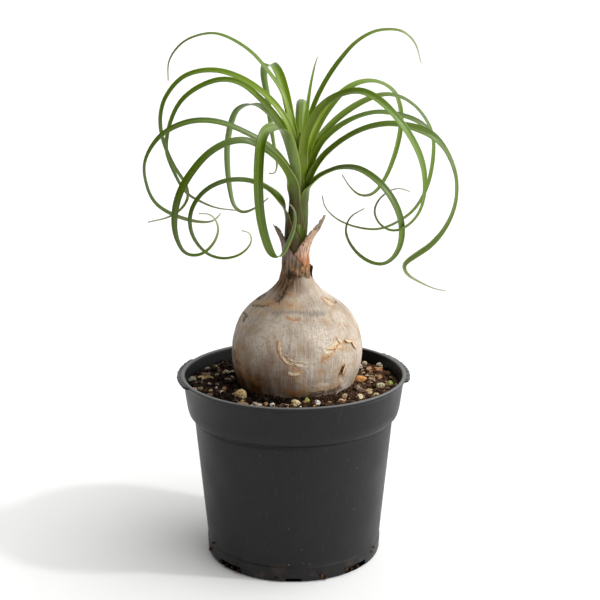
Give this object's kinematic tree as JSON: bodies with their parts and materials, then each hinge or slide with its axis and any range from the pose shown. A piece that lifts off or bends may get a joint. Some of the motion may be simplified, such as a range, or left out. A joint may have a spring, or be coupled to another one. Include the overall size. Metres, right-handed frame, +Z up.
{
  "type": "potted ponytail palm",
  "caption": "Ponytail palm house plant: swollen stem base, dry husks and arching curled strap leaves, growing in a round plastic nursery pot filled with gritty soil.",
  "frame": {"origin": "middle of the pot's flat underside, on the surface that it stands on", "axes": "+Z up along the pot's axis, the side shown in the picture towards -Y"},
  "size_m": [0.2022, 0.1548, 0.3475],
  "materials": {
    "pot_plastic": "satin",
    "potting_mix": "matte",
    "bark": "matte",
    "leaf_base": "satin",
    "dry_husk": "matte",
    "leaf": "satin"
  },
  "bodies": {
    "root": {"pot": "pot_plastic", "soil": "potting_mix", "caudex": "bark", "shoot": "leaf_base", "husk_right": "dry_husk", "husk_left": "dry_husk", "husk_stub": "dry_husk", "leaf_centre_spear": "leaf", "leaf_high_right_whip": "leaf", "leaf_high_left_whip": "leaf", "leaf_tall_fold": "leaf", "leaf_left_outer_arch": "leaf", "leaf_right_front_curl": "leaf", "leaf_right_pale_arch": "leaf", "leaf_left_inner_arch": "leaf", "leaf_back_bend": "leaf", "leaf_left_back_drop": "leaf", "leaf_front_strap": "leaf", "leaf_right_back_arch": "leaf", "leaf_right_long_arch": "leaf", "leaf_right_far_fold": "leaf", "leaf_left_wide_arch": "leaf", "leaf_left_front_spiral": "leaf", "leaf_left_low_spiral": "leaf", "leaf_right_low_loop": "leaf"}
  },
  "joints": []
}
